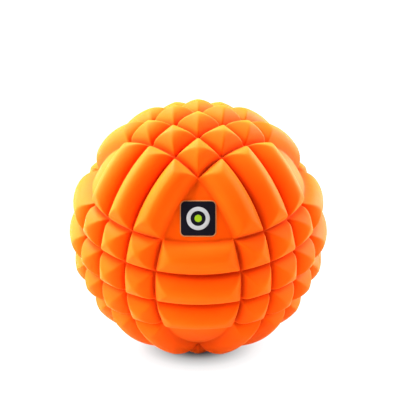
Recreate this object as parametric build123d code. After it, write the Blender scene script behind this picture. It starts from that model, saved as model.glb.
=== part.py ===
"""A textured massage ball: a hard hollow core of two shells under a moulded foam cover of two halves.

The cover's relief is cubic.  Three bands cross at right angles, each three lanes wide and centred on a
great circle.  Where two bands cross, their grooves cut a patch of 3 by 3 pyramids.  Between two patches
a band carries three long bars.  The eight triangles that no band reaches are smooth and lie as low as
the grooves, and a badge is set into one of them.

Row frame: origin at the ball's centre, +Z up, the badge towards -Y, millimetres.  The ball stands on
the four pyramids round one crossing of two grooves, which tilts the relief's own axes about X.
"""

from math import acos, asin, atan2, cos, degrees, hypot, radians, sin, sqrt, tan
import os

from build123d import *

# Driving dimensions of the ball.
BALL_DIAMETER = 127.0
RELIEF_DEPTH = 6.8            # crest to groove floor
FOAM_UNDER_GROOVES = 8.7      # foam left between a groove floor and the core
GLUE_GAP = 0.1                # between the core and the foam
CORE_WALL = 4.0

# The relief.  Angles are seen from the ball's centre.
LANE_ANGLE = 16.0             # pitch of the lanes
GROOVE_FLOOR_ANGLE = 1.2      # width of a groove's floor
FLANK_SLOPE = 68.0            # of the lower, steeper part of a bump's flanks
KNEE_SHARE = 0.25             # how far in from the foot to the crest that part ends
BUMP_ROUNDING = 3.0
ROUNDING_LOSS = 0.45          # how much that rounding takes off a sharp crest
FOOT_SHARE = 0.1              # share of the relief's depth that counts as the foot of a bump
BUMP_ROOT = 0.02              # how far a bump goes below its foot, as a share of the way to its side apex

# The core's tongue-and-groove joint and its ribs.
JOINT_BAND_HEIGHT = 7.0
JOINT_BAND_INWARD = 2.4
TONGUE_WIDTH = 1.6
TONGUE_HEIGHT = 2.4
TONGUE_CLEARANCE = 0.1
RIB_THICKNESS = 2.2
RIB_DEPTH = 5.0

# The badge and its emblem.
BADGE_SIDE = 16.9
BADGE_CORNER_RADIUS = 2.5
BADGE_THICKNESS = 1.5
BADGE_SUNK = 0.9              # how deep its seat goes into the foam
BADGE_SEAT_CLEARANCE = 0.1
EMBLEM_DEPTH = 0.6
EMBLEM_PROUD = 0.15
RING_OUTER_RADIUS = 5.4
RING_INNER_RADIUS = 3.5
DOT_RADIUS = 1.7

CREST_RADIUS = BALL_DIAMETER / 2
SHARP_RADIUS = CREST_RADIUS + ROUNDING_LOSS
GROOVE_RADIUS = CREST_RADIUS - RELIEF_DEPTH
FOAM_INNER_RADIUS = GROOVE_RADIUS - FOAM_UNDER_GROOVES
CORE_RADIUS = FOAM_INNER_RADIUS - GLUE_GAP
CORE_INNER_RADIUS = CORE_RADIUS - CORE_WALL
BUMP_HALF_ANGLE = (LANE_ANGLE - GROOVE_FLOOR_ANGLE) / 2
SIDE_APEX_RADIUS = GROOVE_RADIUS * (1 + radians(BUMP_HALF_ANGLE) * tan(radians(FLANK_SLOPE)))
BIG = 2 * BALL_DIAMETER       # larger than anything that it cuts

# The pyramids at a patch's middle and at its corner stand level when the relief tilts by half the
# angle between them.
TILT = degrees(asin(sqrt(2) * sin(radians(LANE_ANGLE)))) / 2
RELIEF_POSE = Rot(TILT, 0, 0) * Rot(0, 0, -135)

# Turns that carry the +Z patch to all six, and the level band to all three.
PATCH_TURNS = [Rot(90 * quarter, 0, 0) for quarter in range(4)] + [Rot(0, 90, 0), Rot(0, -90, 0)]
BAND_TURNS = [Rot(0, 0, 0), Rot(90, 0, 0), Rot(0, 90, 0)]

# The badge's axis runs through the middle of a triangle, equally far from all three relief axes.
BADGE_ELEVATION = degrees(asin(1 / sqrt(3))) - TILT
BADGE_POSE = Rot(90 - BADGE_ELEVATION, 0, 0)
CORE_POSE = Rot(-BADGE_ELEVATION, 0, 0)


def relief_point(radius, across, along):
    """The point at a given angle from each of two planes of the relief, on the +Z side."""
    x = sin(radians(across))
    y = sin(radians(along))
    return radius * Vector(x, y, sqrt(1 - x * x - y * y))


def between(start, end, share):
    """The point at a share of the way from one point to another; a negative share lies before it."""
    return start + (end - start) * share


def rounded(bump):
    """A bump with every edge rounded, apart from those at its foot."""
    foot_top = GROOVE_RADIUS + FOOT_SHARE * RELIEF_DEPTH
    edges = [edge for edge in bump.edges() if edge.position_at(0.5).length > foot_top]
    return bump.fillet(BUMP_ROUNDING, edges)


def polygon(*corners):
    return Face(Polyline(*corners, close=True).wire())


def pyramid(column, row):
    """The rounded pyramid of the +Z patch that stands in a given lane each way."""
    across = column * LANE_ANGLE
    along = row * LANE_ANGLE
    apex = relief_point(SHARP_RADIUS, across, along)
    side_apex = relief_point(SIDE_APEX_RADIUS, across, along)
    corners = [
        relief_point(GROOVE_RADIUS, across + x * BUMP_HALF_ANGLE, along + y * BUMP_HALF_ANGLE)
        for x, y in ((-1, -1), (1, -1), (1, 1), (-1, 1))
    ]
    foot = [between(corner, side_apex, -BUMP_ROOT) for corner in corners]
    knee = [between(corner, side_apex, KNEE_SHARE) for corner in corners]
    faces = [polygon(foot[0], foot[1], foot[2]), polygon(foot[0], foot[2], foot[3])]
    for i in range(4):
        faces.append(polygon(foot[i - 1], foot[i], knee[i], knee[i - 1]))
        faces.append(polygon(knee[i - 1], knee[i], apex))
    return rounded(Solid(Shell(faces)))


def patch():
    """The nine pyramids of the +Z patch."""
    edge_pyramid = pyramid(1, 0)
    corner_pyramid = pyramid(1, 1)
    bumps = [pyramid(0, 0)]
    for turn in range(4):
        bumps.append(Rot(0, 0, 90 * turn) * edge_pyramid)
        bumps.append(Rot(0, 0, 90 * turn) * corner_pyramid)
    return bumps


def bar(lane):
    """The rounded bar between the +X and +Y patches that stands in a given lane of the level band."""
    latitude = lane * LANE_ANGLE
    crest, side_crest = [meridian_point(radius, latitude) for radius in (SHARP_RADIUS, SIDE_APEX_RADIUS)]
    edges = [meridian_point(GROOVE_RADIUS, latitude + side * BUMP_HALF_ANGLE) for side in (-1, 1)]
    foot = [between(edge, side_crest, -BUMP_ROOT) for edge in edges]
    knee = [between(edge, side_crest, KNEE_SHARE) for edge in edges]
    section = make_face(Polyline(foot[0], knee[0], crest, knee[1], foot[1], close=True))
    solid = revolve(section, Axis.Z, 90)
    for hip in hip_planes(latitude, knee):
        solid = split(solid, bisect_by=hip, keep=Keep.TOP)
    return rounded(solid.solid())


def meridian_point(radius, latitude):
    """A point at a latitude of the level band, on the +X side."""
    return radius * Vector(cos(radians(latitude)), 0, sin(radians(latitude)))


def hip_planes(latitude, knee):
    """The four planes that slope off a bar's ends, each with its normal towards the bar's middle."""
    patch_edge = 1.5 * LANE_ANGLE + GROOVE_FLOOR_ANGLE / 2
    low = end_point(GROOVE_RADIUS, patch_edge, latitude - BUMP_HALF_ANGLE)
    high = end_point(GROOVE_RADIUS, patch_edge, latitude + BUMP_HALF_ANGLE)
    side_top = end_point(SIDE_APEX_RADIUS, patch_edge + BUMP_HALF_ANGLE, latitude)
    top = end_point(SHARP_RADIUS, patch_edge + BUMP_HALF_ANGLE, latitude)
    side = plane_through(low, high, side_top)
    knee_low, knee_high = [turned_onto(point, side) for point in knee]
    hips = [side, plane_through(knee_low, knee_high, top)]
    return hips + [Plane(swapped(h.origin), x_dir=swapped(h.x_dir), z_dir=swapped(h.z_dir)) for h in hips]


def end_point(radius, past, latitude):
    """A point of a bar's end, at an angle in from the plane X = 0 and at a latitude."""
    point = relief_point(radius, past, latitude)
    return Vector(point.X, point.Z, point.Y)


def plane_through(low, high, top):
    """The plane through three points of a bar's end, with its normal towards the bar's middle."""
    return Plane(low, x_dir=high - low, z_dir=(top - low).cross(high - low))


def turned_onto(point, plane):
    """A point of the level band's section, turned about Z until it lies on a plane near the Y axis."""
    normal = plane.z_dir
    reach = point.X
    lean = atan2(normal.Y, normal.X)
    share = (plane.origin.dot(normal) - point.Z * normal.Z) / (reach * hypot(normal.X, normal.Y))
    turn = lean + acos(share)
    return Vector(reach * cos(turn), reach * sin(turn), point.Z)


def swapped(vector):
    """A vector mirrored in the plane halfway between the X and Y axes."""
    return Vector(vector.Y, vector.X, vector.Z)


def bar_trio():
    """The three bars between the +X and +Y patches."""
    outer_bar = bar(1)
    return [bar(0), outer_bar, mirror(outer_bar, about=Plane.XY)]


def foam_cover():
    """The whole cover, before it is parted: relief outside, smooth sphere inside."""
    bumps = []
    for turn in PATCH_TURNS:
        bumps += [turn * bump for bump in patch()]
    for turn in BAND_TURNS:
        for quarter in range(4):
            bumps += [turn * Rot(0, 0, 90 * quarter) * bump for bump in bar_trio()]
    ball = Sphere(GROOVE_RADIUS).fuse(*bumps)
    return RELIEF_POSE * (ball - Sphere(FOAM_INNER_RADIUS))


def foam_halves():
    """The two mouldings, which meet on the plane square to the badge's axis."""
    cover = foam_cover()
    parting = BADGE_POSE * Plane.XY
    seat = badge_slice(
        badge_outline(BADGE_SEAT_CLEARANCE),
        GROOVE_RADIUS - BADGE_SUNK,
        CREST_RADIUS,
    )
    front = split(cover, bisect_by=parting, keep=Keep.TOP) - BADGE_POSE * seat
    rear = split(cover, bisect_by=parting, keep=Keep.BOTTOM)
    return front, rear


def badge_outline(growth):
    """The badge's rounded square, grown on every side."""
    side = BADGE_SIDE + 2 * growth
    return RectangleRounded(side, side, BADGE_CORNER_RADIUS + growth)


def badge_slice(outline, inner_radius, outer_radius):
    """What an outline drawn square to +Z cuts from the shell between two radii."""
    return extrude(outline, BALL_DIAMETER) & (Sphere(outer_radius) - Sphere(inner_radius))


def badge_pieces():
    """The badge's plate, and the ring and dot that fill two recesses in its face."""
    back = GROOVE_RADIUS - BADGE_SUNK
    face = back + BADGE_THICKNESS
    recess = face - EMBLEM_DEPTH
    ring_outline = Circle(RING_OUTER_RADIUS) - Circle(RING_INNER_RADIUS)
    dot_outline = Circle(DOT_RADIUS)
    plate = badge_slice(badge_outline(0), back, face)
    for outline in (ring_outline, dot_outline):
        plate = plate - badge_slice(outline, recess, CREST_RADIUS)
    ring = badge_slice(ring_outline, recess, face + EMBLEM_PROUD)
    dot = badge_slice(dot_outline, recess, face + EMBLEM_PROUD)
    return [BADGE_POSE * piece for piece in (plate, ring, dot)]


def core_section():
    """Section of a core shell: the wall, and the thicker band that tapers in along its open edge."""
    band_inner = CORE_INNER_RADIUS - JOINT_BAND_INWARD
    taper_start = JOINT_BAND_HEIGHT - JOINT_BAND_INWARD
    wall_start = asin(JOINT_BAND_HEIGHT / CORE_INNER_RADIUS)
    wall_foot = (CORE_INNER_RADIUS * cos(wall_start), JOINT_BAND_HEIGHT)
    edges = [
        CenterArc((0, 0), CORE_RADIUS, 0, 90),
        Line((0, CORE_RADIUS), (0, CORE_INNER_RADIUS)),
        CenterArc((0, 0), CORE_INNER_RADIUS, 90, degrees(wall_start) - 90),
        Line(wall_foot, (band_inner, taper_start)),
        Line((band_inner, taper_start), (band_inner, 0)),
        Line((band_inner, 0), (CORE_RADIUS, 0)),
    ]
    return Plane.XZ * make_face(edges)


def core_ribs():
    """Two crossing ribs moulded inside a core shell."""
    slab = Box(BIG, RIB_THICKNESS, BIG)
    cross = slab + Rot(0, 0, 90) * slab
    zone = Sphere(CORE_RADIUS - CORE_WALL / 2) - Sphere(CORE_INNER_RADIUS - RIB_DEPTH)
    above_joint = Pos(0, 0, JOINT_BAND_HEIGHT + BIG / 2) * Box(BIG, BIG, BIG)
    return cross & zone & above_joint


def joint_ring(clearance):
    """The tongue of the core's joint, or with a clearance, the groove that takes it."""
    middle = CORE_RADIUS - (CORE_WALL + JOINT_BAND_INWARD) / 2
    outer = middle + TONGUE_WIDTH / 2 + clearance
    inner = middle - TONGUE_WIDTH / 2 - clearance
    height = TONGUE_HEIGHT + clearance
    return Pos(0, 0, -height / 2) * (Cylinder(outer, height) - Cylinder(inner, height))


def core_shells():
    """The two core shells, which meet on a plane through the badge's axis."""
    shell = revolve(core_section(), Axis.Z) + core_ribs()
    upper = shell + joint_ring(0)
    lower = mirror(shell, about=Plane.XY) - joint_ring(TONGUE_CLEARANCE)
    return CORE_POSE * upper, CORE_POSE * lower


def main():
    os.makedirs("parts", exist_ok=True)
    nodes = {}
    nodes["foam_cover_front"], nodes["foam_cover_rear"] = foam_halves()
    nodes["core_shell_upper"], nodes["core_shell_lower"] = core_shells()
    nodes["badge_plate"], nodes["badge_ring"], nodes["badge_dot"] = badge_pieces()
    for name, shape in nodes.items():
        export_step(shape, f"parts/{name}.step")


main()
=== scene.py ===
"""Looks for the textured massage ball: foam cover halves, badge, studio floor, light and camera.

The cover starts as one surface of directions from the ball's centre, each with a height over the
groove floors.  It is made field by field in the relief's own axes, then turned, welded and parted.
"""

import math

import bmesh
import bpy
import numpy as np
from mathutils import Matrix, Vector


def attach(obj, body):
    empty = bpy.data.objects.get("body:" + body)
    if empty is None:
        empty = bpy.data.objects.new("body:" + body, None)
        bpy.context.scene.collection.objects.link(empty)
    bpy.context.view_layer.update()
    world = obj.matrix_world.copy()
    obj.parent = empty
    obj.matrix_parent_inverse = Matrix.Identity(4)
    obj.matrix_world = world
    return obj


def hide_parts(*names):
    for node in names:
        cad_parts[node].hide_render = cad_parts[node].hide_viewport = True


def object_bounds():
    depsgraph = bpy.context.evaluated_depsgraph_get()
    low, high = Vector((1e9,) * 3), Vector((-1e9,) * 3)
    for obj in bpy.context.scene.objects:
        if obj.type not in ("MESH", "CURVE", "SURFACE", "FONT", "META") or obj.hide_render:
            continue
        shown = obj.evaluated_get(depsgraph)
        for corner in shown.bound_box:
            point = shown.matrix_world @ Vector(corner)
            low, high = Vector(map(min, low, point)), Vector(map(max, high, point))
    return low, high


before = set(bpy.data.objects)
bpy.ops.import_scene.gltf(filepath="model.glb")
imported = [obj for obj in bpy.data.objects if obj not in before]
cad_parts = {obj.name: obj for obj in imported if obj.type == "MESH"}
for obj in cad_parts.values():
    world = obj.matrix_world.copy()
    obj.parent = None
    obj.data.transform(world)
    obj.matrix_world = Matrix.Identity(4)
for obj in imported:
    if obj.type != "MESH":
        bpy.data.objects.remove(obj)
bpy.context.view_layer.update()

MM = 0.001

# The ball, as in the CAD.
CREST_RADIUS = 63.5 * MM
RELIEF = 6.8 * MM
GROOVE_RADIUS = CREST_RADIUS - RELIEF
INNER_RADIUS = 48.0 * MM
LANE = math.radians(16.0)
HALF_LANE = LANE / 2
BAND = 1.5 * LANE             # from the middle of a band to its edge
TILT = math.asin(math.sqrt(2) * math.sin(LANE)) / 2
BADGE_ELEVATION = math.asin(1 / math.sqrt(3)) - TILT

RELIEF_TO_ROW = Matrix.Rotation(TILT, 3, "X") @ Matrix.Rotation(math.radians(-135), 3, "Z")
BADGE_AXIS = Vector((0, -math.cos(BADGE_ELEVATION), math.sin(BADGE_ELEVATION)))
BADGE_RIGHT = np.array([1.0, 0, 0])
BADGE_UP = np.cross(np.array(BADGE_AXIS), BADGE_RIGHT)

# The bumps' section.
GROOVE_FLOOR = 0.6 * MM       # half width
FOOT_SOFTNESS = 0.35 * MM
OUTER_SOFTNESS = 1.1 * MM     # where a bar's outer flank runs into a smooth triangle
CREST_SOFTNESS = 0.8 * MM
RIDGE_SOFTNESS = 0.7 * MM
HIP_SOFTNESS = 0.5 * MM
STRAIGHT = 0.25               # 1 is a straight flank, 0 a round one
ROUND_POWER = 0.55
REACH = HALF_LANE * GROOVE_RADIUS - GROOVE_FLOOR    # from a bump's foot to its crest

# The cover's mesh.
HALF_SEGMENTS = 14            # from a groove to a crest
MIDDLE_SEGMENTS = 26          # along a bar, between its two ends
EVEN_SHARE = 0.42             # how far those segments are even in length,
CROWDED_SHARE = 0.58          # and how far they crowd towards the groove
WELD = 0.004 * MM
ON_PLANE = 1e-8               # nearer than this, a point counts as on a cutting plane
INNER_RINGS = 40
INNER_AROUND = 128
SHARP_ANGLE = 50              # edges that bend by more degrees than this are shaded as sharp

# The seam between the cover's halves.
SEAM_DEPTH = 0.28 * MM
SEAM_REACH = 0.40 * MM
SEAM_CURVE = 1.5
SEAM_CUTS = (0.40 * MM, 0.18 * MM, 0.0)

# Where shade is painted into the foam's colour: darker down in the grooves and along the smooth
# triangles' edges.
GROOVE_SHADE = 0.42           # share of the relief up to which painted shade darkens a flank
TRIANGLE_SHADE = 1.1 * MM     # how far the painted shade reaches out over a smooth triangle
TRIANGLE_SHARE = 0.5          # its weight there, and in the grooves beside it
BESIDE_TRIANGLE = 2 * MM

# The badge, as in the CAD.
PLATE_HALF = 8.45 * MM
PLATE_CORNER = 2.5 * MM
PLATE_BACK = GROOVE_RADIUS - 0.9 * MM
PLATE_FACE = PLATE_BACK + 1.5 * MM
SEAT_GAP = 0.1 * MM
RECESS = PLATE_FACE - 0.6 * MM
EMBLEM_FACE = PLATE_FACE + 0.15 * MM
RING_OUTER = 5.4 * MM
RING_INNER = 3.5 * MM
DOT_RADIUS = 1.7 * MM

# The badge's finer shape.
PLATE_EDGE = 0.32 * MM        # radius of the plate's rounded edge
PLATE_LIP = 0.07 * MM         # bevel round its recesses
PLATE_BEVEL = 0.1 * MM        # behind
LEAST_CORNER = 0.2 * MM
EMBLEM_EDGE = 0.16 * MM
EMBLEM_FIT = 0.02 * MM        # clearance in the recesses
BADGE_SHARP_ANGLE = 35

# The picture.
CAMERA_DISTANCE = 0.9         # metres, as all the lengths here
CAMERA_ELEVATION = math.radians(18.8)
FRAME_SHARE = 0.322           # the ball's radius as a share of the picture's width
AIM_ABOVE = 13.5 * MM         # where the camera looks, from the ball's centre
AIM_RIGHT = 0.85 * MM

# Each studio light: azimuth from the camera's side towards +X, elevation, and power in watts.
LIGHT_DISTANCE = 1.2
LIGHT_SIZE = 0.8
STUDIO = {
    "tent_left": (-90, 30, 26),
    "tent_left_low": (-90, 8, 13),
    "tent_right": (90, 30, 15),
    "tent_back_left": (-140, 55, 76),
    "tent_back_left_low": (-130, 18, 17),
    "tent_back_right": (130, 18, 38),
    "tent_front_left": (-40, 30, 1.8),
    "tent_front_right": (40, 30, 1.8),
}
WORLD_SEEN = 1.0
WORLD_LIGHT = 0.005

# The floor's own brightness by distance from the point that the ball stands on: a painted contact shadow,
# dark under the ball and white further out.
FLOOR_HALF = 6
SHADE_REACH = 0.045
SHADE = (
    (0.009, 0.0),
    (0.013, 0.07),
    (0.016, 0.21),
    (0.020, 0.48),
    (0.025, 0.69),
    (0.029, 0.85),
    (0.036, 0.98),
)


def smooth_step_up(d, width):
    """d where it is well above zero, zero well below, and a soft bend between."""
    bend = (d + width) ** 2 / (4 * width)
    return np.where(d > width, d, np.where(d < -width, 0.0, bend))


def smooth_max(a, b, width):
    h = np.maximum(width - np.abs(a - b), 0) / width
    return np.maximum(a, b) + h * h * width / 4


def smooth_min(a, b, width):
    return -smooth_max(-a, -b, width)


def profile(from_foot):
    """Height of a bump at a distance in from its foot."""
    to_crest = np.clip(REACH - from_foot, 0, None)
    to_crest = np.sqrt(to_crest**2 + CREST_SOFTNESS**2) - CREST_SOFTNESS
    full = math.sqrt(REACH**2 + CREST_SOFTNESS**2) - CREST_SOFTNESS
    x = np.clip(to_crest / full, 0, 1)
    return RELIEF * (STRAIGHT * (1 - x) + (1 - STRAIGHT) * (1 - x**2) ** ROUND_POWER)


def bump_height(off_crest_1, off_crest_2):
    """Height from two distances, as angles, from the nearest crest line each way."""
    off_crest = smooth_max(off_crest_1 * GROOVE_RADIUS, off_crest_2 * GROOVE_RADIUS, RIDGE_SOFTNESS)
    return profile(smooth_step_up(REACH - off_crest, FOOT_SOFTNESS))


def outer_height(inside_edge):
    """Height of a bar's outer flank, from the signed distance in from the band's edge."""
    return profile(smooth_step_up(inside_edge - GROOVE_FLOOR, OUTER_SOFTNESS))


def end_height(past_edge):
    """The most height that a bar has at an angle past the edge of a band that crosses it."""
    distance = np.minimum(past_edge * GROOVE_RADIUS - GROOVE_FLOOR, REACH)
    return profile(smooth_step_up(distance, FOOT_SOFTNESS))


def flank_height(latitude, past_1, past_2):
    """Height on or beside a bar's outer flank, clear of the two bands that cross the bar."""
    outer = outer_height((BAND - latitude) * GROOVE_RADIUS)
    ends = np.minimum(end_height(past_1), end_height(past_2))
    return np.maximum(smooth_min(outer, ends, HIP_SOFTNESS), 0)


def half_lane_steps():
    """Shares of half a lane, from a crest to a groove."""
    t = np.linspace(0, 1, HALF_SEGMENTS + 1)
    return EVEN_SHARE * t + CROWDED_SHARE * np.sin(t * math.pi / 2)


def band_latitudes():
    right = half_lane_steps() * HALF_LANE
    lane = np.concatenate([-right[::-1], right[1:]])
    return np.concatenate([lane - LANE, lane[1:], lane[1:] + LANE])


LATITUDES = band_latitudes()


def off_lane_crest(latitude):
    nearest = np.clip(np.round(latitude / LANE), -1, 1) * LANE
    return np.abs(latitude - nearest)


def patch_grid():
    """Directions and heights over the patch round the relief's +Z axis."""
    u, v = np.meshgrid(LATITUDES, LATITUDES, indexing="ij")
    x, y = np.sin(u), np.sin(v)
    p = np.stack([x, y, np.sqrt(1 - x * x - y * y)], -1)
    return p, bump_height(off_lane_crest(u), off_lane_crest(v))


def bar_grid():
    """Directions and heights over the three bars of the level band between the +X and +Y patches."""
    past_patch = BAND + (1 - half_lane_steps()[::-1]) * HALF_LANE
    middle = np.linspace(0, 1, MIDDLE_SEGMENTS + 1)[1:-1]
    rows = []
    for latitude in LATITUDES:
        end = np.arccos(np.sin(past_patch) / math.cos(latitude))
        start = np.arcsin(np.sin(past_patch) / math.cos(latitude))
        between = start[-1] + (end[-1] - start[-1]) * middle
        rows.append(np.concatenate([start, between, end[::-1]]))
    turn = np.array(rows)
    w = np.repeat(LATITUDES[:, None], turn.shape[1], 1)
    p = np.stack([np.cos(w) * np.cos(turn), np.cos(w) * np.sin(turn), np.sin(w)], -1)
    past_x, past_y = np.arcsin(p[..., 0]) - BAND, np.arcsin(p[..., 1]) - BAND
    off_end = np.clip(HALF_LANE - np.minimum(past_x, past_y), 0, None)
    height = bump_height(off_lane_crest(w), off_end)
    flank = flank_height(np.abs(w), past_x, past_y)
    return p, np.where(np.abs(w) > LANE, flank, height)


def cycled(p, count):
    """Points with their axes moved on, which carries one edge of the triangle to another."""
    return np.roll(p, count, axis=-1)


def edge_part(edge, far_corner, share):
    """What one edge adds to a triangle's points, from the far corner's weight and a near corner's."""
    rest = 1 - far_corner
    at = share / np.maximum(rest, 1e-12)
    t = np.linspace(0, 1, len(edge))
    return rest[:, None] * np.stack([np.interp(at, t, edge[:, k]) for k in range(3)], -1)


def triangle_mesh(edge):
    """The smooth triangle in the +X+Y+Z corner, from the samples along one of its edges.

    edge runs from the corner by the X patch to the corner by the Y patch, along the level band."""
    n = len(edge) - 1
    index = {}
    weights = []
    for i in range(n + 1):
        for j in range(n + 1 - i):
            index[i, j] = len(weights)
            weights.append((i / n, j / n))
    wy, wz = np.array(weights).T
    wx = 1 - wy - wz
    p = (
        edge_part(edge, wz, wy)
        + edge_part(cycled(edge, 1), wx, wz)
        + edge_part(cycled(edge, 2), wy, wx)
        - wx[:, None] * edge[0] - wy[:, None] * edge[-1] - wz[:, None] * cycled(edge[-1], 1)
    )
    p /= np.linalg.norm(p, axis=1)[:, None]
    u = np.arcsin(np.clip(p, -1, 1))
    h = np.max(
        [flank_height(u[:, k], u[:, k - 1] - BAND, u[:, k - 2] - BAND) for k in range(3)],
        axis=0,
    )
    faces = []
    for i in range(n):
        for j in range(n - i):
            faces.append((index[i, j], index[i + 1, j], index[i, j + 1]))
            if i + j < n - 1:
                faces.append((index[i + 1, j], index[i + 1, j + 1], index[i, j + 1]))
    return p, h, np.array(faces)


def grid_faces(h):
    """Triangles of a grid, each quad cut along its higher diagonal so that ridges stay whole."""
    rows, columns = h.shape
    i, j = np.meshgrid(np.arange(rows - 1), np.arange(columns - 1), indexing="ij")
    a = (i * columns + j).ravel()
    b, c, d = a + columns, a + columns + 1, a + 1
    flat = h.ravel()
    higher = (flat[a] + flat[c] >= flat[b] + flat[d])[:, None]
    first = np.where(higher, np.stack([a, b, c], 1), np.stack([a, b, d], 1))
    second = np.where(higher, np.stack([a, c, d], 1), np.stack([b, c, d], 1))
    return np.concatenate([first, second])


def turned(p, rotation):
    return p @ np.array(rotation).T


def turn_about(axis, degrees):
    return Matrix.Rotation(math.radians(degrees), 3, axis)


def whole_surface():
    """All the cover's outer points in the row frame, and its triangles."""
    p, h = patch_grid()
    patch = p.reshape(-1, 3), h.ravel(), grid_faces(h)
    p, h = bar_grid()
    bars = p.reshape(-1, 3), h.ravel(), grid_faces(h)
    triangle = triangle_mesh(p[-1])

    blocks = [(patch, turn_about("X", 90 * quarter)) for quarter in range(4)]
    blocks += [(patch, turn_about("Y", 90)), (patch, turn_about("Y", -90))]
    for band in (turn_about("X", 0), turn_about("X", 90), turn_about("Y", 90)):
        blocks += [(bars, band @ turn_about("Z", 90 * quarter)) for quarter in range(4)]
    for flip in (turn_about("X", 0), turn_about("X", 180)):
        blocks += [(triangle, flip @ turn_about("Z", 90 * quarter)) for quarter in range(4)]

    points, faces, base = [], [], 0
    for (p, h, f), rotation in blocks:
        p = turned(p, rotation)
        p = p / np.linalg.norm(p, axis=1)[:, None]
        points.append(turned(p, RELIEF_TO_ROW) * (GROOVE_RADIUS + h)[:, None])
        faces.append(f + base)
        base += len(p)
    points, faces = welded(np.concatenate(points), np.concatenate(faces))
    return points, outward(points, faces)


def outward(points, faces):
    """The same triangles, all wound so that their normals point away from the ball's centre."""
    a, b, c = (points[faces[:, k]] for k in range(3))
    inward = np.einsum("ij,ij->i", np.cross(b - a, c - a), a + b + c) < 0
    return np.where(inward[:, None], faces[:, ::-1], faces)


def welded(points, faces):
    """The same surface with coincident points merged."""
    mesh = bpy.data.meshes.new("unwelded")
    mesh.from_pydata(points.tolist(), [], faces.tolist())
    bm = bmesh.new()
    bm.from_mesh(mesh)
    bmesh.ops.remove_doubles(bm, verts=bm.verts, dist=WELD)
    bm.to_mesh(mesh)
    bm.free()
    points = np.empty(3 * len(mesh.vertices), np.float32)
    mesh.vertices.foreach_get("co", points)
    faces = np.empty(3 * len(mesh.polygons), np.int32)
    mesh.polygons.foreach_get("vertices", faces)
    bpy.data.meshes.remove(mesh)
    return points.reshape(-1, 3).astype(float), faces.reshape(-1, 3)


def cut_by_plane(points, faces, normal, offset):
    """The same surface with every triangle that crosses a plane cut along it."""
    d = points @ normal - offset
    d[np.abs(d) < ON_PLANE] = 0
    side = np.sign(d)[faces]
    crossing = (side.min(1) < 0) & (side.max(1) > 0)
    kept = [tuple(f) for f in faces[~crossing]]
    points = list(points)
    cuts = {}

    def cut_point(i, j):
        key = (min(i, j), max(i, j))
        if key not in cuts:
            t = d[i] / (d[i] - d[j])
            cuts[key] = len(points)
            points.append(points[i] + (points[j] - points[i]) * t)
        return cuts[key]

    for f in faces[crossing]:
        below, above = [], []
        for k in range(3):
            i, j = int(f[k]), int(f[(k + 1) % 3])
            if d[i] <= 0:
                below.append(i)
            if d[i] >= 0:
                above.append(i)
            if d[i] * d[j] < 0:
                m = cut_point(i, j)
                below.append(m)
                above.append(m)
        for polygon in (below, above):
            kept += [(polygon[0], polygon[k], polygon[k + 1]) for k in range(1, len(polygon) - 1)]
    return np.array(points), np.array(kept)


def boundary_loop(faces):
    """The open edge of a surface as one ordered loop of point numbers."""
    halves = {(int(f[k]), int(f[(k + 1) % 3])): True for f in faces for k in range(3)}
    follow = {j: i for i, j in halves if (j, i) not in halves}
    start = next(iter(follow))
    loop = [start]
    while follow[loop[-1]] != start:
        loop.append(follow[loop[-1]])
    return loop


def zip_loops(angles_a, loop_a, angles_b, loop_b):
    """Triangles between two loops that run the same way round, in order of angle."""
    na, nb = len(loop_a), len(loop_b)
    i = j = 0
    triangles = []
    while i < na or j < nb:
        next_a = angles_a[i + 1] if i < na else math.inf
        next_b = angles_b[j + 1] if j < nb else math.inf
        a, b = loop_a[i % na], loop_b[j % nb]
        if next_a <= next_b:
            triangles.append((a, loop_a[(i + 1) % na], b))
            i += 1
        else:
            triangles.append((a, loop_b[(j + 1) % nb], b))
            j += 1
    return triangles


def make_object(name, points, faces):
    mesh = bpy.data.meshes.new(name)
    mesh.from_pydata(points.tolist(), [], faces.tolist())
    mesh.polygons.foreach_set("use_smooth", np.ones(len(mesh.polygons), bool))
    mesh.update()
    obj = bpy.data.objects.new(name, mesh)
    bpy.context.scene.collection.objects.link(obj)
    return obj


def recalculate_normals(obj):
    bm = bmesh.new()
    bm.from_mesh(obj.data)
    bmesh.ops.recalc_face_normals(bm, faces=bm.faces)
    bm.to_mesh(obj.data)
    bm.free()


def sharpen(obj, degrees):
    """Marks edges that bend more than this as sharp, so that smooth shading stops at them."""
    bm = bmesh.new()
    bm.from_mesh(obj.data)
    for edge in bm.edges:
        edge.smooth = edge.calc_face_angle(0.0) < math.radians(degrees)
    bm.to_mesh(obj.data)
    bm.free()


def add_attribute(obj, name, values):
    attribute = obj.data.attributes.new(name, "FLOAT", "POINT")
    attribute.data.foreach_set("value", np.asarray(values, np.float32))


def loop_from_angle_zero(loop, points, right, up):
    """The loop turned to start at its smallest angle, and its angles, closed by a full turn."""
    p = points[loop]
    angle = np.mod(np.arctan2(p @ up, p @ right), 2 * math.pi)
    if np.median(np.diff(angle)) < 0:
        loop, angle = loop[::-1], angle[::-1]
    start = int(np.argmin(angle))
    loop = loop[start:] + loop[:start]
    angle = np.concatenate([angle[start:], angle[:start]])
    return loop, np.append(angle, angle[0] + 2 * math.pi)


def parted(points, faces, axis):
    """The surface on an axis's side of the centre, with the seam's fine groove along its edge."""
    for offset in SEAM_CUTS:
        points, faces = cut_by_plane(points, faces, axis, offset)
    faces = faces[points[faces].mean(1) @ axis > 0]
    used, faces = np.unique(faces, return_inverse=True)
    points = points[used]
    depth = SEAM_DEPTH * np.clip(1 - (points @ axis) / SEAM_REACH, 0, 1) ** SEAM_CURVE
    radius = np.linalg.norm(points, axis=1)
    return points * ((radius - depth) / radius)[:, None], faces.reshape(-1, 3)


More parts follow.
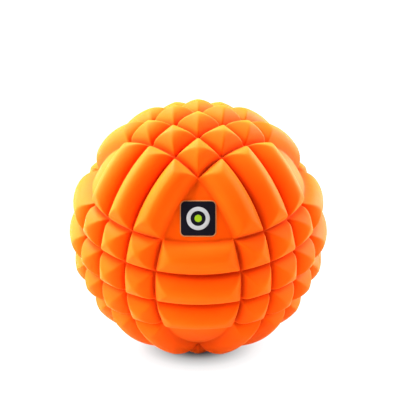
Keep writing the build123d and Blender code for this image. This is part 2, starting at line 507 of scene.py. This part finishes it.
def inner_dome(axis, right, up):
    """The smooth inside of a half, from its rim inwards: points, triangles and the rim's angles."""
    latitude = np.linspace(0, math.pi / 2, INNER_RINGS + 1)[:-1]
    turn = np.arange(INNER_AROUND) * 2 * math.pi / INNER_AROUND
    ring = np.cos(turn)[:, None] * right + np.sin(turn)[:, None] * up
    rings = [ring * math.cos(a) + axis * math.sin(a) for a in latitude]
    points = np.concatenate(rings + [axis[None]]) * INNER_RADIUS
    faces = []
    for r in range(INNER_RINGS - 1):
        for k in range(INNER_AROUND):
            a, b = r * INNER_AROUND + k, r * INNER_AROUND + (k + 1) % INNER_AROUND
            faces += [(a, b, b + INNER_AROUND), (a, b + INNER_AROUND, a + INNER_AROUND)]
    last = (INNER_RINGS - 1) * INNER_AROUND
    top = last + INNER_AROUND
    faces += [(last + k, last + (k + 1) % INNER_AROUND, top) for k in range(INNER_AROUND)]
    return points, np.array(faces), np.append(turn, 2 * math.pi)


def foam_half(name, points, faces, axis):
    """One half of the cover: its share of the surface, the parting face and the inside."""
    axis = np.array(axis)
    right = BADGE_RIGHT
    up = np.cross(axis, right)
    points, faces = parted(points, faces, axis)
    outer_loop, outer_angles = loop_from_angle_zero(boundary_loop(faces), points, right, up)
    inner_points, inner_faces, inner_angles = inner_dome(axis, right, up)
    base = len(points)
    inner_loop = list(range(base, base + INNER_AROUND))
    parting_face = zip_loops(outer_angles, outer_loop, inner_angles, inner_loop)
    points = np.concatenate([points, inner_points])
    faces = np.concatenate([faces, inner_faces + base, np.array(parting_face)])
    obj = make_object(name, points, faces)
    recalculate_normals(obj)
    height = np.clip((np.linalg.norm(points, axis=1) - GROOVE_RADIUS) / RELIEF, 0, 1)
    add_attribute(obj, "relief", height)
    # The groove attribute weighs the painted shade in the grooves and along the smooth triangles' edges.
    add_attribute(obj, "groove", painted_shade_share(points, height))
    return obj


def painted_shade_share(points, height):
    """Weight of the painted shade: 1 on a groove's floor, falling to 0 up its flanks and out over the
    smooth triangles.
    """
    relief_points = turned(points, RELIEF_TO_ROW.transposed())
    relief_points /= np.linalg.norm(relief_points, axis=1)[:, None]
    past_bands = (np.abs(np.arcsin(np.clip(relief_points, -1, 1))) - BAND).min(1) * GROOVE_RADIUS
    on_triangle = np.exp(-((np.clip(past_bands, 0, None) / TRIANGLE_SHADE) ** 2))
    in_band = np.clip(1 - height / GROOVE_SHADE, 0, 1)
    beside = np.exp(-((np.clip(-past_bands, 0, None) / BESIDE_TRIANGLE) ** 2))
    near_triangle = 1 - (1 - TRIANGLE_SHARE) * beside
    return np.where(past_bands > 0, on_triangle * TRIANGLE_SHARE, in_band * near_triangle)


def on_badge(x, y, radius):
    """Points at an offset across the badge, on a sphere about the ball's centre."""
    depth = np.sqrt(radius**2 - x**2 - y**2)
    return x[:, None] * BADGE_RIGHT + y[:, None] * BADGE_UP + depth[:, None] * np.array(BADGE_AXIS)


def rounded_square_outline(half, corner, per_corner, per_side):
    xs, ys = [], []
    middle = half - corner
    signs = ((1, 1), (-1, 1), (-1, -1), (1, -1))
    for quarter in range(4):
        start_angle = quarter * math.pi / 2
        end_angle = start_angle + math.pi / 2
        centre_x, centre_y = middle * signs[quarter][0], middle * signs[quarter][1]
        next_x, next_y = middle * signs[(quarter + 1) % 4][0], middle * signs[(quarter + 1) % 4][1]
        a = start_angle + np.linspace(0, math.pi / 2, per_corner + 1)
        xs.append(centre_x + corner * np.cos(a))
        ys.append(centre_y + corner * np.sin(a))
        end = (xs[-1][-1], ys[-1][-1])
        start = (next_x + corner * math.cos(end_angle), next_y + corner * math.sin(end_angle))
        t = np.linspace(0, 1, per_side + 1)[1:-1]
        xs.append(end[0] + (start[0] - end[0]) * t)
        ys.append(end[1] + (start[1] - end[1]) * t)
    return np.concatenate(xs), np.concatenate(ys)


def loops_solid(name, loops, close_ring=False):
    """A closed solid skinned over loops of equal length; its ends are fans, or it closes on itself."""
    count = len(loops[0])
    points = np.concatenate(loops)
    k = np.arange(count)
    following = (k + 1) % count
    pairs = [(i, i + 1) for i in range(len(loops) - 1)]
    if close_ring:
        pairs.append((len(loops) - 1, 0))
    faces = []
    for i, j in pairs:
        faces.append(np.stack([i * count + k, i * count + following, j * count + following], 1))
        faces.append(np.stack([i * count + k, j * count + following, j * count + k], 1))
    if not close_ring:
        for i in (0, len(loops) - 1):
            centre = len(points)
            points = np.concatenate([points, loops[i].mean(0)[None]])
            faces.append(np.stack([i * count + k, i * count + following, np.full(count, centre)], 1))
    obj = make_object(name, points, np.concatenate(faces))
    recalculate_normals(obj)
    return obj


def cut_away(obj, tool):
    """obj less tool's volume; tool goes."""
    modifier = obj.modifiers.new("cut", "BOOLEAN")
    modifier.operation = "DIFFERENCE"
    modifier.solver = "EXACT"
    modifier.object = tool
    depsgraph = bpy.context.evaluated_depsgraph_get()
    mesh = bpy.data.meshes.new_from_object(obj.evaluated_get(depsgraph))
    obj.modifiers.clear()
    obj.data = mesh
    bpy.data.objects.remove(tool)


def cut_seat(obj):
    """Cuts the badge's seat into the front half."""
    outline = rounded_square_outline(PLATE_HALF + SEAT_GAP, PLATE_CORNER + SEAT_GAP, 10, 4)
    below_plate = on_badge(*outline, PLATE_BACK - EMBLEM_FIT)
    cut_away(obj, loops_solid("seat_tool", [below_plate, on_badge(*outline, CREST_RADIUS)]))


def plate_outline(inset):
    return rounded_square_outline(PLATE_HALF - inset, max(PLATE_CORNER - inset, LEAST_CORNER), 12, 16)


def plate_loop(inset, radius):
    return on_badge(*plate_outline(inset), radius)


def plate_circle(size, radius):
    """A circle whose points stand at the angles of the plate's outline, so that the two can be joined."""
    x, y = plate_outline(0.0)
    angle = np.arctan2(y, x)
    return on_badge(size * np.cos(angle), size * np.sin(angle), radius)


def badge_plate(black, border):
    """The plate: recesses for the dot and the ring, a domed face, a pale rounded edge and a back."""
    circles = [
        (DOT_RADIUS * 0.05, RECESS),
        (DOT_RADIUS * 0.6, RECESS),
        (DOT_RADIUS, RECESS),
        (DOT_RADIUS, PLATE_FACE - PLATE_LIP),
        (DOT_RADIUS + PLATE_LIP, PLATE_FACE),
        (2.3 * MM, PLATE_FACE),
        (2.9 * MM, PLATE_FACE),
        (RING_INNER - PLATE_LIP, PLATE_FACE),
        (RING_INNER, PLATE_FACE - PLATE_LIP),
        (RING_INNER, RECESS),
        (RING_OUTER, RECESS),
        (RING_OUTER, PLATE_FACE - PLATE_LIP),
        (RING_OUTER + PLATE_LIP, PLATE_FACE),
    ]
    loops = [plate_circle(size, radius) for size, radius in circles]
    loops += [plate_loop(inset, PLATE_FACE) for inset in (1.9 * MM, 1.1 * MM, 0.42 * MM)]
    first_border = len(loops)
    loops += [
        plate_loop(PLATE_EDGE * (1 - math.sin(a)), PLATE_FACE - PLATE_EDGE * (1 - math.cos(a)))
        for a in np.linspace(0, math.pi / 2, 7)
    ]
    last_border = len(loops) - 1
    loops += [plate_loop(0.0, PLATE_BACK + PLATE_BEVEL), plate_loop(PLATE_BEVEL, PLATE_BACK)]
    loops += [plate_loop(PLATE_HALF * t, PLATE_BACK) for t in (0.3, 0.6, 0.95)]
    plate = loops_solid("badge_plate_body", loops)
    assign(plate, black, border)
    for polygon in plate.data.polygons:
        rows = [v // len(loops[0]) for v in polygon.vertices]
        if min(rows) >= first_border - 1 and max(rows) <= last_border:
            polygon.material_index = 1
    sharpen(plate, BADGE_SHARP_ANGLE)
    return plate


def lathed(name, profile_points, count, close_ring):
    """A round piece about the badge's axis, from (distance across, radius from the ball's centre)."""
    a = np.arange(count) * 2 * math.pi / count
    loops = [on_badge(size * np.cos(a), size * np.sin(a), radius) for size, radius in profile_points]
    return loops_solid(name, loops, close_ring)


def emblem_ring(name):
    inner, outer, low = RING_INNER + EMBLEM_FIT, RING_OUTER - EMBLEM_FIT, RECESS + EMBLEM_FIT
    soft = EMBLEM_EDGE
    arc = np.linspace(0, math.pi / 2, 5)
    section = [(outer, low)]
    section += [
        (outer - soft * (1 - math.cos(a)), EMBLEM_FACE - soft * (1 - math.sin(a))) for a in arc
    ]
    section += [
        (inner + soft * (1 - math.sin(a)), EMBLEM_FACE - soft * (1 - math.cos(a))) for a in arc
    ]
    section += [(inner, low)]
    return lathed(name, section, 96, True)


def emblem_dot(name):
    outer, low = DOT_RADIUS - EMBLEM_FIT, RECESS + EMBLEM_FIT
    soft = EMBLEM_EDGE
    arc = np.linspace(0, math.pi / 2, 5)
    section = [(outer * 0.05, low), (outer, low)]
    section += [
        (outer - soft * (1 - math.cos(a)), EMBLEM_FACE - soft * (1 - math.sin(a))) for a in arc
    ]
    section += [(outer * t, EMBLEM_FACE) for t in (0.6, 0.3, 0.05)]
    return lathed(name, section, 64, False)


def principled(name):
    material = bpy.data.materials.new(name)
    material.use_nodes = True
    nodes, links = material.node_tree.nodes, material.node_tree.links
    return material, nodes, links, nodes["Principled BSDF"]


def object_place(nodes):
    return nodes.new("ShaderNodeTexCoord").outputs["Object"]


def attribute_value(nodes, name):
    node = nodes.new("ShaderNodeAttribute")
    node.attribute_name = name
    return node.outputs["Fac"]


def noise(nodes, links, coordinates, scale, detail=2.0, roughness=0.5):
    node = nodes.new("ShaderNodeTexNoise")
    node.inputs["Scale"].default_value = scale
    node.inputs["Detail"].default_value = detail
    node.inputs["Roughness"].default_value = roughness
    links.new(coordinates, node.inputs["Vector"])
    return node.outputs["Fac"]


def mapped(nodes, links, value, low, high, to_low, to_high):
    node = nodes.new("ShaderNodeMapRange")
    node.inputs["From Min"].default_value = low
    node.inputs["From Max"].default_value = high
    node.inputs["To Min"].default_value = to_low
    node.inputs["To Max"].default_value = to_high
    links.new(value, node.inputs["Value"])
    return node.outputs["Result"]


def mixed(nodes, links, factor, first, second):
    """A colour between two; each is a socket or an RGB tuple."""
    node = nodes.new("ShaderNodeMix")
    node.data_type = "RGBA"
    colour_in = [i for i in node.inputs if i.type == "RGBA"]
    for socket, colour in zip(colour_in, (first, second)):
        if isinstance(colour, tuple):
            socket.default_value = (*colour, 1)
        else:
            links.new(colour, socket)
    links.new(factor, node.inputs["Factor"])
    return [o for o in node.outputs if o.type == "RGBA"][0]


def bumped(nodes, links, height, strength, distance, normal=None):
    node = nodes.new("ShaderNodeBump")
    node.inputs["Strength"].default_value = strength
    node.inputs["Distance"].default_value = distance
    links.new(height, node.inputs["Height"])
    if normal is not None:
        links.new(normal, node.inputs["Normal"])
    return node.outputs["Normal"]


def foam_colour(nodes, links, place, cloudy):
    """Mottled by a few percent, with painted shade down in the grooves and a painted highlight that makes
    the crests a little paler.
    """
    speckle = noise(nodes, links, place, 1500.0)
    # painted shade: darker down in the grooves and in the creases by the smooth triangles
    painted_groove_shade = mapped(nodes, links, attribute_value(nodes, "groove"), 0.0, 1.0, 0.0, 0.85)
    # painted highlight: paler, yellower crests
    painted_crest_highlight = mapped(nodes, links, attribute_value(nodes, "relief"), 0.88, 1.0, 0.0, 0.3)
    mottle = mapped(nodes, links, cloudy, 0.35, 0.65, 0.0, 1.0)
    specks = mapped(nodes, links, speckle, 0.62, 0.72, 0.0, 0.25)
    colour = mixed(nodes, links, mottle, (0.86, 0.080, 0.0014), (0.90, 0.088, 0.0016))
    # painted shade mixed in towards a dark red
    colour = mixed(nodes, links, painted_groove_shade, colour, (0.50, 0.020, 0.0006))
    # painted highlight mixed in on the crests
    colour = mixed(nodes, links, painted_crest_highlight, colour, (0.88, 0.12, 0.003))
    return mixed(nodes, links, specks, colour, (0.85, 0.07, 0.0015))


def foam_normal(nodes, links, place):
    """A fine leathery grain with shut pores, and very slight unevenness from the mould."""
    grain = noise(nodes, links, place, 2600.0, 3.0, 0.6)
    cells = nodes.new("ShaderNodeTexVoronoi")
    cells.inputs["Scale"].default_value = 1400.0
    links.new(place, cells.inputs["Vector"])
    pores = mapped(nodes, links, cells.outputs["Distance"], 0.0, 0.25, 0.0, 1.0)
    swell = noise(nodes, links, place, 220.0)
    normal = bumped(nodes, links, swell, 0.30, 0.35 * MM)
    normal = bumped(nodes, links, grain, 0.35, 0.06 * MM, normal)
    return bumped(nodes, links, pores, 0.25, 0.05 * MM, normal)


def foam_material():
    material, nodes, links, shader = principled("eva_foam")
    place = object_place(nodes)
    cloudy = noise(nodes, links, place, 60.0, 3.0)
    links.new(foam_colour(nodes, links, place, cloudy), shader.inputs["Base Color"])
    links.new(foam_normal(nodes, links, place), shader.inputs["Normal"])
    links.new(mapped(nodes, links, cloudy, 0.3, 0.7, 0.56, 0.68), shader.inputs["Roughness"])
    shader.inputs["Specular IOR Level"].default_value = 0.06
    shader.inputs["Specular Tint"].default_value = (1.0, 0.60, 0.12, 1)
    shader.inputs["Sheen Weight"].default_value = 0.16
    shader.inputs["Sheen Roughness"].default_value = 0.5
    shader.inputs["Sheen Tint"].default_value = (1.0, 0.62, 0.09, 1)
    return material


def plastic_material(name, colour, colour_2, roughness, specular):
    material, nodes, links, shader = principled(name)
    place = object_place(nodes)
    cloudy = noise(nodes, links, place, 300.0, 3.0)
    rough = mapped(nodes, links, cloudy, 0.3, 0.7, roughness - 0.05, roughness + 0.07)
    grain = noise(nodes, links, place, 3000.0)
    links.new(mixed(nodes, links, cloudy, colour, colour_2), shader.inputs["Base Color"])
    links.new(rough, shader.inputs["Roughness"])
    links.new(bumped(nodes, links, grain, 0.25, 0.03 * MM), shader.inputs["Normal"])
    shader.inputs["Specular IOR Level"].default_value = specular
    return material


def brushed_silver_material():
    """A silver finish with fine slanting brush lines."""
    material, nodes, links, shader = principled("emblem_silver")
    slant = nodes.new("ShaderNodeMapping")
    slant.inputs["Rotation"].default_value = (0, math.radians(35), 0)
    slant.inputs["Scale"].default_value = (400, 400, 9000)
    links.new(object_place(nodes), slant.inputs["Vector"])
    lines = noise(nodes, links, slant.outputs["Vector"], 1.0)
    colour = mixed(nodes, links, lines, (0.36, 0.365, 0.375), (0.50, 0.505, 0.515))
    links.new(colour, shader.inputs["Base Color"])
    links.new(mapped(nodes, links, lines, 0.3, 0.7, 0.35, 0.5), shader.inputs["Roughness"])
    links.new(bumped(nodes, links, lines, 0.3, 0.04 * MM), shader.inputs["Normal"])
    shader.inputs["Specular IOR Level"].default_value = 0.25
    return material


def distance_from(nodes, links, centre):
    offset = nodes.new("ShaderNodeVectorMath")
    offset.operation = "SUBTRACT"
    offset.inputs[1].default_value = centre
    links.new(object_place(nodes), offset.inputs[0])
    length = nodes.new("ShaderNodeVectorMath")
    length.operation = "LENGTH"
    links.new(offset.outputs[0], length.inputs[0])
    return length.outputs["Value"]


def is_camera_ray(nodes):
    return nodes.new("ShaderNodeLightPath").outputs["Is Camera Ray"]


def floor_material(centre):
    """Grey paper that lights the ball from below; to the camera it glows white, with a short dark shadow
    painted under the ball.
    """
    material, nodes, links, shader = principled("floor_white")
    shader.inputs["Base Color"].default_value = (0.55, 0.55, 0.55, 1)
    shader.inputs["Roughness"].default_value = 0.8
    shader.inputs["Specular IOR Level"].default_value = 0.0
    reached = mapped(nodes, links, distance_from(nodes, links, centre), 0.0, SHADE_REACH, 0.0, 1.0)
    shade = nodes.new("ShaderNodeValToRGB")
    links.new(reached, shade.inputs["Fac"])
    ramp = shade.color_ramp
    ramp.elements[0].position, ramp.elements[0].color = 0.0, (0, 0, 0, 1)
    ramp.elements[1].position, ramp.elements[1].color = 1.0, (1, 1, 1, 1)
    # painted contact shadow: the ramp runs from black under the ball to white further out, seen by the
    # camera only
    for distance, value in SHADE:
        ramp.elements.new(distance / SHADE_REACH).color = (value, value, value, 1)
    seen = nodes.new("ShaderNodeBsdfDiffuse")
    seen.inputs["Color"].default_value = (0.05, 0.05, 0.05, 1)
    glow = nodes.new("ShaderNodeEmission")
    links.new(shade.outputs["Color"], glow.inputs["Color"])
    both = nodes.new("ShaderNodeAddShader")
    links.new(seen.outputs[0], both.inputs[0])
    links.new(glow.outputs[0], both.inputs[1])
    # the camera sees the glowing floor with its painted shadow; light that bounces off the floor sees the
    # grey paper
    pick = nodes.new("ShaderNodeMixShader")
    links.new(is_camera_ray(nodes), pick.inputs[0])
    links.new(shader.outputs[0], pick.inputs[1])
    links.new(both.outputs[0], pick.inputs[2])
    links.new(pick.outputs[0], nodes["Material Output"].inputs["Surface"])
    return material


def assign(obj, *materials):
    obj.data.materials.clear()
    for material in materials:
        obj.data.materials.append(material)


def place_piece(obj, node):
    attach(obj, "root")
    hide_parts(node)


def studio_floor():
    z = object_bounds()[0][2]
    half = FLOOR_HALF
    corners = np.array([(-half, -half, z), (half, -half, z), (half, half, z), (-half, half, z)])
    floor = make_object("floor", corners, np.array([(0, 1, 2, 3)]))
    assign(floor, floor_material((0, 0, z)))


def studio_world():
    """White to the camera, and almost dark to the light that falls on the ball."""
    world = bpy.data.worlds.new("studio")
    bpy.context.scene.world = world
    world.use_nodes = True
    nodes, links = world.node_tree.nodes, world.node_tree.links
    background = nodes["Background"]
    background.inputs["Color"].default_value = (1, 1, 1, 1)
    strength = mapped(nodes, links, is_camera_ray(nodes), 0, 1, WORLD_LIGHT, WORLD_SEEN)
    links.new(strength, background.inputs["Strength"])


def studio_light(name, azimuth, elevation, power):
    """A square soft light that faces the ball's centre."""
    a, e = math.radians(azimuth), math.radians(elevation)
    direction = Vector((math.sin(a) * math.cos(e), -math.cos(a) * math.cos(e), math.sin(e)))
    data = bpy.data.lights.new(name, "AREA")
    data.shape = "SQUARE"
    data.size = LIGHT_SIZE
    data.energy = power
    obj = bpy.data.objects.new(name, data)
    obj.location = direction * LIGHT_DISTANCE
    obj.rotation_euler = (-obj.location).to_track_quat("-Z", "Y").to_euler()
    bpy.context.scene.collection.objects.link(obj)


def studio_camera():
    silhouette = math.tan(math.asin(CREST_RADIUS / CAMERA_DISTANCE))
    data = bpy.data.cameras.new("camera")
    data.sensor_width = 36
    data.lens = FRAME_SHARE * data.sensor_width / silhouette
    back = Vector((0, -math.cos(CAMERA_ELEVATION), math.sin(CAMERA_ELEVATION)))
    up = Vector((0, math.sin(CAMERA_ELEVATION), math.cos(CAMERA_ELEVATION)))
    camera = bpy.data.objects.new("camera", data)
    camera.location = up * AIM_ABOVE + Vector((AIM_RIGHT, 0, 0)) + back * CAMERA_DISTANCE
    camera.rotation_euler = (-back).to_track_quat("-Z", "Y").to_euler()
    bpy.context.scene.collection.objects.link(camera)
    bpy.context.scene.camera = camera


surface_points, surface_faces = whole_surface()
front = foam_half("foam_front", surface_points, surface_faces, BADGE_AXIS)
rear = foam_half("foam_rear", surface_points, surface_faces, -BADGE_AXIS)
cut_seat(front)

foam = foam_material()
black = plastic_material("badge_black", (0.0040, 0.0035, 0.007), (0.006, 0.005, 0.010), 0.6, 0.05)
border = plastic_material("badge_border", (0.46, 0.19, 0.060), (0.54, 0.24, 0.08), 0.5, 0.15)
silver = brushed_silver_material()
green = plastic_material("emblem_green", (0.24, 0.40, 0.004), (0.29, 0.46, 0.006), 0.5, 0.2)
core = plastic_material("core_plastic", (0.02, 0.02, 0.022), (0.03, 0.03, 0.032), 0.5, 0.4)

plate = badge_plate(black, border)
ring = emblem_ring("badge_ring_inlay")
dot = emblem_dot("badge_dot_inlay")
for piece in (front, rear, ring, dot):
    sharpen(piece, SHARP_ANGLE)

assign(front, foam)
assign(rear, foam)
assign(ring, silver)
assign(dot, green)
for node in ("core_shell_upper", "core_shell_lower"):
    assign(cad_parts[node], core)

place_piece(front, "foam_cover_front")
place_piece(rear, "foam_cover_rear")
place_piece(plate, "badge_plate")
place_piece(ring, "badge_ring")
place_piece(dot, "badge_dot")

studio_floor()
studio_world()
for light_name, (light_azimuth, light_elevation, light_power) in STUDIO.items():
    studio_light(light_name, light_azimuth, light_elevation, light_power)
studio_camera()
bpy.context.scene.view_settings.view_transform = "Standard"
